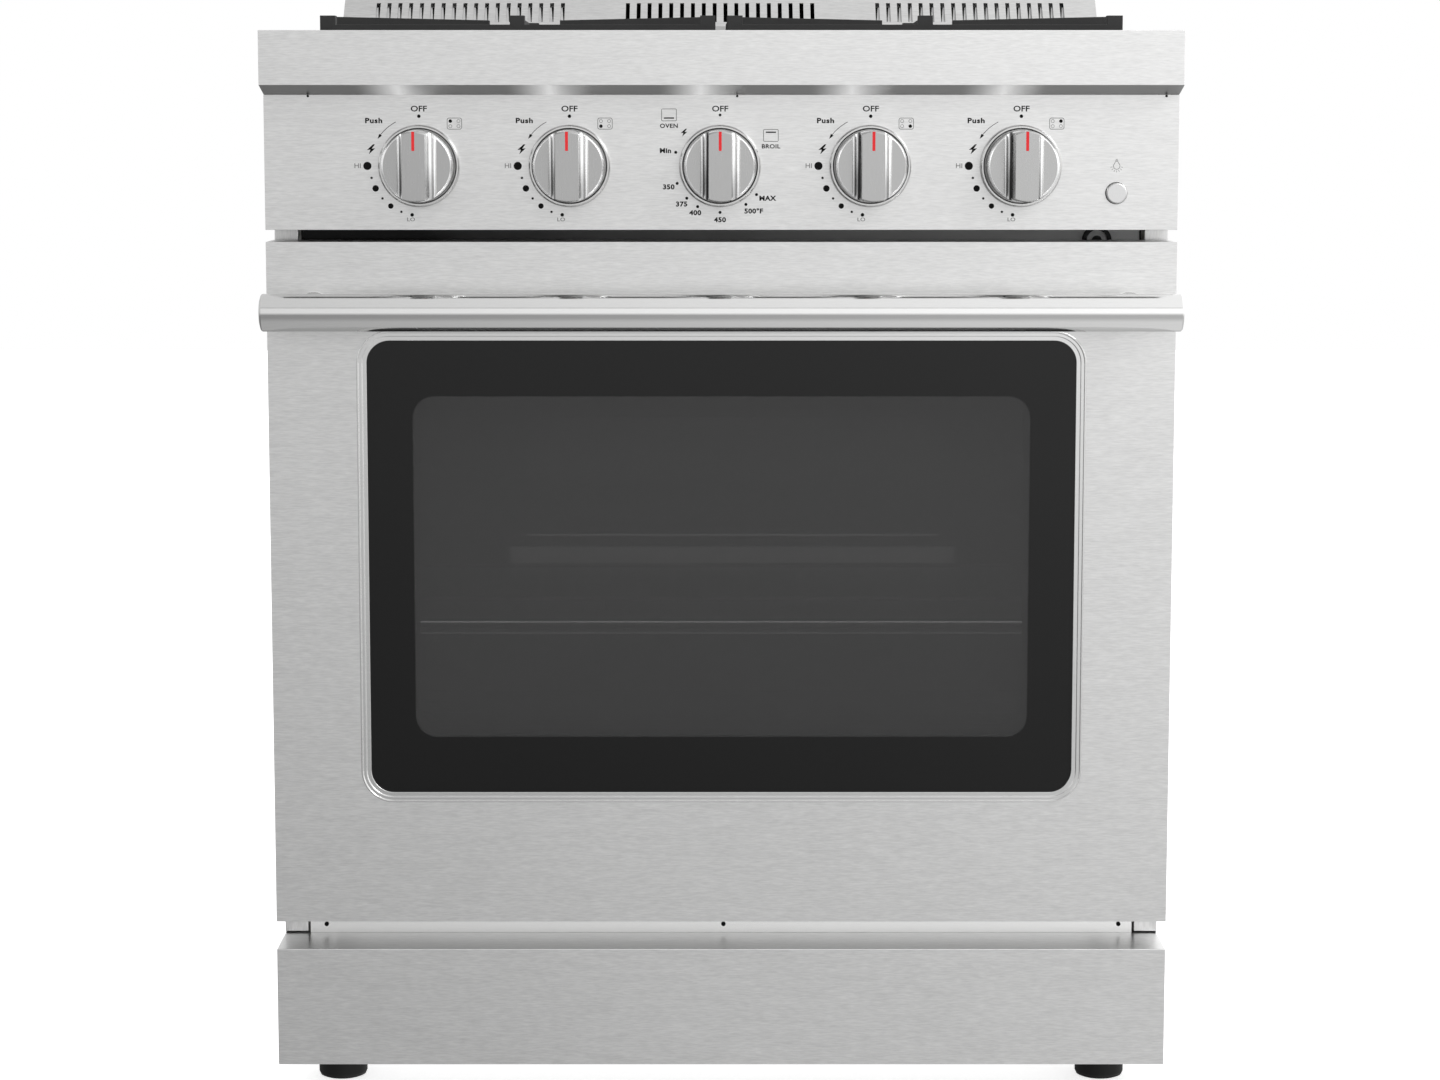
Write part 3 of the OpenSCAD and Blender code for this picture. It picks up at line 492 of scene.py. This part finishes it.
class Printing:
    """Marks laid on the control panel. Places are in millimetres from a middle point."""

    def __init__(self):
        self.bm = bmesh.new()

    def slab(self, points, at):
        loop = [self.bm.verts.new((at.x + px * MM, front_y - ink_depth, at.z + pz * MM)) for px, pz in points]
        face = self.bm.faces.new(loop)
        made = bmesh.ops.extrude_face_region(self.bm, geom=[face])
        bmesh.ops.translate(self.bm, vec=(0, ink_depth, 0),
                            verts=[v for v in made["geom"] if isinstance(v, bmesh.types.BMVert)])

    def dot(self, px, pz, diameter, at):
        turns = [2 * math.pi * k / 24 for k in range(24)]
        self.slab([(px + diameter / 2 * math.cos(t), pz + diameter / 2 * math.sin(t)) for t in turns], at)

    def line(self, points, width, at):
        """A stroke of one width through points, closed or open."""
        for (ax, az), (bx, bz) in zip(points, points[1:]):
            run = math.hypot(bx - ax, bz - az)
            ux, uz = (bx - ax) / run * width / 2, (bz - az) / run * width / 2
            lap_x, lap_z = ux * 0.4, uz * 0.4
            self.slab([(ax - lap_x - uz, az - lap_z + ux), (ax - lap_x + uz, az - lap_z - ux),
                       (bx + lap_x + uz, bz + lap_z - ux), (bx + lap_x - uz, bz + lap_z + ux)], at)

    def ring(self, px, pz, diameter, width, at, start=0, turn=360, steps=24):
        radius = diameter / 2
        arc = [math.radians(start + turn * k / steps) for k in range(steps + 1)]
        self.line([(px + radius * math.cos(t), pz + radius * math.sin(t)) for t in arc], width, at)

    def frame(self, px, pz, w, h, radius, width, at):
        outline = []
        for cx, cz, start in ((w / 2 - radius, h / 2 - radius, 0), (radius - w / 2, h / 2 - radius, 90),
                              (radius - w / 2, radius - h / 2, 180), (w / 2 - radius, radius - h / 2, 270)):
            for k in range(5):
                a = math.radians(start + 22.5 * k)
                outline.append((px + cx + radius * math.cos(a), pz + cz + radius * math.sin(a)))
        self.line(outline + outline[:1], width, at)

    def words(self, text, px, pz, cap, at, bold=0.0, spacing=1.0, wide=1.12):
        """Text centred on a point, with a capital height in millimetres."""
        curve = bpy.data.curves.new("words", "FONT")
        curve.body = text
        curve.size = cap / cap_height_share * MM
        curve.align_x = "CENTER"
        curve.extrude = ink_depth / 2
        curve.offset = bold * MM
        curve.space_character = spacing
        curve.resolution_u = 3
        holder = bpy.data.objects.new("words", curve)
        scene.collection.objects.link(holder)
        bpy.context.view_layer.update()
        made = bpy.data.meshes.new_from_object(holder.evaluated_get(bpy.context.evaluated_depsgraph_get()))
        laid_at = (at.x + px * MM, front_y - ink_depth / 2, at.z + (pz - cap / 2) * MM)
        made.transform(Matrix.Translation(laid_at)
                       @ Matrix.Rotation(math.pi / 2, 4, "X") @ Matrix.Diagonal((wide, 1, 1, 1)))
        self.bm.from_mesh(made)
        bpy.data.objects.remove(holder)
        bpy.data.curves.remove(curve)
        bpy.data.meshes.remove(made)

    def done(self, name, ink):
        made = mesh_object(name, self.bm, ink)
        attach(made, "range_body")


bold_print, pale_print = Printing(), Printing()


def polar(radius, degrees):
    """A point round a knob: degrees count anticlockwise from the top."""
    a = math.radians(degrees)
    return -radius * math.sin(a), radius * math.cos(a)


def bolt(at, px, pz, h):
    """The lightning sign for the igniter."""
    shape = ((0.18, 0.5), (-0.36, -0.06), (-0.06, -0.04), (-0.2, -0.5),
             (0.36, 0.1), (0.06, 0.07), (0.34, 0.5))
    bold_print.slab([(px + sx * h * 1.15, pz + sz * h) for sx, sz in shape], at)


mark_radius = 41.0
flame_marks = ((0, 2.9), (90, 6.8), (104, 2.0), (117, 5.4), (131, 2.0), (144, 4.5), (158, 2.0), (171, 3.0))
sign_x, sign_z = 29.5, 34.9
burner_signs = {1: (-1, 1), 2: (-1, -1), 4: (1, -1), 5: (1, 1)}
for number in range(1, 6):
    low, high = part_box(f"knob_{number}")
    hub = Vector(((low.x + high.x) / 2, 0, (low.z + high.z) / 2))
    bold_print.words("OFF", 0, 47.4, 4.8, hub, bold=0.12, wide=1.18)
    if number == 3:
        continue
    for turn, diameter in flame_marks:
        px, pz = polar(mark_radius + (2.2 if turn == 90 else 0), turn)
        bold_print.dot(px, pz, diameter, hub)
    bold_print.words("Push", -37.5, 37.6, 4.2, hub, bold=0.22, spacing=1.12, wide=1.22)
    arc = [polar(mark_radius, 28 + k * 2.2) for k in range(12)]
    bold_print.line(arc, 0.45, hub)
    tip_x, tip_z = polar(mark_radius, 57)
    back_x, back_z = polar(mark_radius, 51)
    side_x, side_z = (back_z - tip_z) * 0.32, (tip_x - back_x) * 0.32
    bold_print.slab([(tip_x, tip_z), (back_x + side_x, back_z + side_z),
                     (back_x - side_x, back_z - side_z)], hub)
    bolt(hub, *polar(42.2, 71), 8.2)
    pale_print.words("HI", -51.3, 0.3, 4.0, hub, bold=0.06)
    pale_print.words("LO", -7.4, -44.2, 3.1, hub, bold=0.05, wide=1.25)
    pale_print.frame(sign_x, sign_z, 12.0, 9.2, 1.6, 0.5, hub)
    for sx in (-1, 1):
        for sz in (-1, 1):
            if burner_signs[number] == (sx, sz):
                bold_print.dot(sign_x + sx * 3.4, sign_z + sz * 2.1, 2.9, hub)
            else:
                pale_print.ring(sign_x + sx * 3.4, sign_z + sz * 2.1, 2.6, 0.35, hub, steps=16)

low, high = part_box("knob_3")
hub = Vector(((low.x + high.x) / 2, 0, (low.z + high.z) / 2))
oven_radius = 38.5
bold_print.dot(0, 42, 2.3, hub)
oven_marks = (("Min", 73, -45.4, 12.8), ("350", 112, -42.8, -17.2), ("375", 134, -32.0, -31.4),
              ("400", 151, -20.6, -38.6), ("450", 180, 0, -44.4), ("500°F", 214, 28.0, -37.2),
              ("MAX", 232, 39.4, -26.6))
for text, turn, px, pz in oven_marks:
    bold_print.dot(*polar(oven_radius, turn), 2.5, hub)
    bold_print.words(text, px, pz, 4.0, hub, bold=0.21, spacing=1.08)
for text, px, pz, bar in (("OVEN", -42.4, 42.1, -2.6), ("BROIL", 42.2, 25.2, 2.6)):
    bold_print.frame(px, pz, 12.2, 9.8, 0.8, 0.4, hub)
    bold_print.slab([(px - 4.2, pz + bar - 0.55), (px + 4.2, pz + bar - 0.55), (px + 4.2, pz + bar + 0.55),
                     (px - 4.2, pz + bar + 0.55)], hub)
    bold_print.words(text, px, pz - 8.9, 3.5, hub, bold=0.12, spacing=1.08)
bolt(hub, -30.0, 27.5, 6.4)

button_low, button_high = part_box("light_button")
lamp_at = Vector(((button_low.x + button_high.x) / 2, 0, 0.7925))
pale_print.ring(0, -0.6, 5.4, 0.42, lamp_at, start=-230, turn=280)
pale_print.line([(-1.9, 1.3), (-1.0, 3.2), (1.0, 3.2), (1.9, 1.3)], 0.42, lamp_at)
pale_print.line([(-1.0, 4.1), (1.0, 4.1)], 0.5, lamp_at)
pale_print.line([(-0.6, 5.0), (0.6, 5.0)], 0.5, lamp_at)
for ray in range(-4, 3):
    a = math.radians(-90 + ray * 26 + 26)
    pale_print.line([(r * math.cos(a), -0.6 + r * math.sin(a)) for r in (3.7, 5.2)], 0.35, lamp_at)
bold_print.done("panel_marks_black", ink_black)
pale_print.done("panel_marks_grey", ink_grey)

# ---- Grates ----
# Two sand-cast iron grates under a thin matt black enamel. They lift off.
iron = Finish("grate_iron", Base_Color=grey(0.02), Roughness=0.62, Specular_IOR_Level=0.4)
iron_pits = iron.noise((1400.0,) * 3, detail=3.0, rough=0.65)
iron_patch = iron.noise((25.0,) * 3, detail=3.0, seed=5.0)
iron.set(Base_Color=iron.mix(iron_patch, grey(0.014), grey(0.032)), Roughness=0.5 + iron_patch * 0.2)
iron.bump(iron_pits, 0.0003, 0.5)
dress(iron, "grate_left", "grate_right")
soften(0.0016, "grate_left", "grate_right")

# ---- Burners ----
# Die-cast aluminium bases and ported heads with enamelled iron caps, each with a white
# ceramic igniter beside it.
cast = Finish("burner_cast", Metallic=0.9)
cast_sand = cast.noise((900.0,) * 3, detail=3.0)
cast_heat = cast.noise((40.0,) * 3, detail=3.0, seed=2.0)
cast.set(Base_Color=cast.mix(cast_heat, grey(0.42), grey(0.58)), Roughness=0.42 + cast_sand * 0.16)
cast.bump(cast_sand, 0.0002, 0.4)
dress(cast, "burner_bases", "burner_heads")
cap_enamel = Finish("cap_enamel", Roughness=0.4)
cap_speck = cap_enamel.noise((1100.0,) * 3, detail=2.0)
cap_enamel.set(Base_Color=cap_enamel.mix(cap_speck, grey(0.010), grey(0.026)),
               Roughness=0.34 + cap_speck * 0.16)
cap_enamel.bump(cap_speck, 0.00012, 0.3)
dress(cap_enamel, "burner_caps")
porcelain = Finish("igniter_porcelain", Roughness=0.3)
porcelain.set(Base_Color=porcelain.mix(porcelain.noise((500.0,) * 3), (0.82, 0.80, 0.74, 1),
                                       (0.72, 0.69, 0.62, 1)))
dress(porcelain, "igniters")

# ---- Cooktop pan ----
# A pressed steel pan in gloss black enamel with a shallow basin.
pan = Finish("pan_enamel", Roughness=0.16, Coat_Weight=0.3)
pan_speck = pan.noise((1500.0,) * 3, detail=2.0)
pan_wave = pan.noise((14.0,) * 3, detail=2.0, seed=4.0)
pan.set(Base_Color=pan.mix(pan_speck.over(0.66), grey(0.012), grey(0.05)), Roughness=0.12 + pan_wave * 0.12)
pan.bump(pan_wave, 0.0006, 0.15)
dress(pan, "cooktop_pan")
soften(0.0015, "cooktop_pan")

# ---- Oven ----
# The cavity, its loose floor, the flue cover on the back wall and the door's inner panel are
# dark grey enamel with pale specks. The rack is bright wire, and its ladders are dull wire.
# The cover's strip, a painted highlight line along its lip, the cover's upper half and the
# rack's two front rods glow weakly as painted light, to show through the dark pane.
enamel = Finish("oven_enamel", Roughness=0.3)
fleck = enamel.noise((700.0,) * 3, detail=2.0)
haze = enamel.noise((9.0,) * 3, detail=3.0, seed=6.0)
enamel.set(Base_Color=enamel.mix(fleck.over(0.64) * 0.6, enamel.mix(haze, grey(0.045), grey(0.07)),
                                 grey(0.32)),
           Roughness=0.26 + haze * 0.12)
enamel.bump(fleck, 0.0001, 0.2)
dress(enamel, "oven_cavity", "oven_floor", "door_liner")
cover = Finish("flue_cover_enamel", Roughness=0.4)
cover_x, cover_y, cover_z = cover.axes(cover.place())
cover_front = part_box("rear_baffle")[0].y
cover_fleck = cover.noise((700.0,) * 3, detail=2.0)
crust_and_glow = cover.noise((950.0,) * 3, detail=4.0, rough=0.8, seed=9.0)
strip_depth, cover_middle = 0.004, 0.472
raised = 1.0 - cover_y.over(cover_front + strip_depth)
upper_half = cover_z.over(cover_middle)
lip_x, lip_z, lip_half_length, lip_half_width = 0.0075, 0.4158, 0.2275, 0.001
# A painted highlight line along the strip's lip.
lip_highlight = ((1.0 - (cover_z - lip_z).abs().over(lip_half_width))
       * (1.0 - (cover_x - lip_x).abs().over(lip_half_length)))
cover.set(Base_Color=cover.mix(raised, cover.mix(upper_half, grey(0.06), grey(0.095)),
                               cover.mix((crust_and_glow - 0.25).clamped(), grey(0.05), grey(0.75))),
          # The strip, in its crust pattern, the lip line and the upper half glow as painted light.
          Emission_Color=cover.mix((raised * ((crust_and_glow - 0.5) * 3.0 + 0.5) + lip_highlight * 0.8).clamped(),
                                   cover.mix((1.0 - raised) * upper_half, grey(0.0), grey(0.06)), grey(1.0)),
          Emission_Strength=0.26, Roughness=0.3 + cover_fleck * 0.12)
cover.bump(cover_fleck, 0.0001, 0.2)
dress(cover, "rear_baffle")
wire = Finish("rack_chrome", Metallic=1.0)
wire_heat = wire.noise((60.0,) * 3, detail=2.0)
rack_low, rack_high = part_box("oven_rack")
wire_x, wire_y, wire_z = wire.axes(wire.place())
front_rod = wire_z.over(rack_high.z - 0.0011)
edge_rod_r, wire_gaps = 0.003, 19
wire_pitch = (rack_high.x - rack_low.x - 0.006) / wire_gaps
between = 1.0 - (((wire_x - rack_low.x - edge_rod_r) / wire_pitch).math("FRACT") - 0.5).abs().over(0.46)
second_rod = (wire_z.over(rack_high.z - 0.0127) * (1.0 - wire_z.over(rack_high.z - 0.0116)) * between
              * (1.0 - wire_y.over(rack_low.y + 0.0176)) * wire_y.over(rack_low.y + 0.0124))
wire.set(Base_Color=wire.mix(wire_heat, (0.62, 0.60, 0.57, 1), (0.8, 0.8, 0.8, 1)),
         Roughness=0.14 + wire_heat * 0.14,
         # The two front rods glow as a painted highlight.
         Emission_Color=wire.mix((front_rod + second_rod * 0.45).clamped(), grey(0.0), grey(1.0)),
         Emission_Strength=0.7)
dress(wire, "oven_rack")
guide = Finish("guide_wire", Metallic=0.6, Roughness=0.45)
guide_heat = guide.noise((60.0,) * 3, detail=2.0)
guide.set(Base_Color=guide.mix(guide_heat, grey(0.09), grey(0.16)), Roughness=0.4 + guide_heat * 0.15)
dress(guide, "rack_guides")
lens = Finish("lamp_lens", IOR=1.5, Alpha=0.8)
lens_dust = lens.noise((200.0,) * 3)
lens.set(Base_Color=lens.mix(lens_dust, (0.8, 0.78, 0.7, 1), (0.9, 0.89, 0.84, 1)),
         Roughness=0.2 + lens_dust * 0.1)
dress(lens, "oven_lamp")
burner_pipe = Finish("burner_pipe", Metallic=0.9)
pipe_heat = burner_pipe.noise((35.0,) * 3, detail=4.0)
burner_pipe.set(Base_Color=burner_pipe.mix(pipe_heat, (0.34, 0.32, 0.30, 1), (0.6, 0.6, 0.6, 1)),
                Roughness=0.35 + pipe_heat * 0.2)
dress(burner_pipe, "bake_burner", "broil_burner")
wool = Finish("glass_wool", Roughness=1.0)
wool_fluff = wool.noise((220.0,) * 3, detail=5.0, rough=0.7)
wool.set(Base_Color=wool.mix(wool_fluff, (0.52, 0.45, 0.18, 1), (0.78, 0.72, 0.42, 1)))
wool.bump(wool_fluff, 0.002, 0.8)
dress(wool, "oven_insulation", "door_insulation")

# ---- Door seal ----
# A woven rope seal round the oven's mouth, round in section and clipped to the face.
rope = Finish("seal_weave", Roughness=0.85)
weave = rope.node("ShaderNodeTexWave", {"bands_direction": "DIAGONAL"},
                  {"Vector": rope.place(), "Scale": 260.0, "Distortion": 2.0, "Detail": 1.0})
rope.set(Base_Color=rope.mix(weave, grey(0.05), grey(0.13)))
rope.bump(weave, 0.0006, 0.6)
dress(rope, "door_gasket")
soften(0.0022, "door_gasket", segments=3)

# ---- Zinc-coated parts ----
# The rear panel, base pan, hinges, gas supply and spindles are zinc-coated steel with a faint
# spangle. The body screws are blackened, and the gas valves are brass.
zinc = Finish("zinc_coat", Metallic=0.85)
spangle = zinc.node("ShaderNodeTexVoronoi", {"feature": "F1"}, {"Vector": zinc.place(), "Scale": 90.0}, 0)
dull = zinc.noise((12.0,) * 3, detail=3.0)
zinc.set(Base_Color=zinc.mix(spangle * 0.8 + dull * 0.3, grey(0.50), grey(0.64)),
         Roughness=0.34 + spangle * 0.2 + dull * 0.06)
dress(zinc, "rear_panel", "base_pan", "hinge_arms", "door_hinges", "gas_supply",
      *(f"stem_{n}" for n in range(1, 6)))
dress(ink_black, "body_screws")
brass = Finish("valve_brass", Metallic=1.0)
brass_cast = brass.noise((300.0,) * 3, detail=3.0)
brass.set(Base_Color=brass.mix(brass_cast, (0.50, 0.36, 0.12, 1), (0.66, 0.5, 0.2, 1)),
          Roughness=0.35 + brass_cast * 0.2)
dress(brass, "gas_valves")

# ---- Feet and switch ----
# Black moulded feet on steel studs, and the lamp switch's black case.
moulded = Finish("moulded_black", IOR=1.35)
moulded_skin = moulded.noise((2000.0,) * 3, detail=2.0)
moulded.set(Base_Color=moulded.mix(moulded_skin, grey(0.003), grey(0.008)),
            Roughness=0.5 + moulded_skin * 0.15)
moulded.bump(moulded_skin, 0.0001, 0.3)
dress(moulded, "light_switch", *(f"levelling_leg_{n}" for n in range(1, 5)))
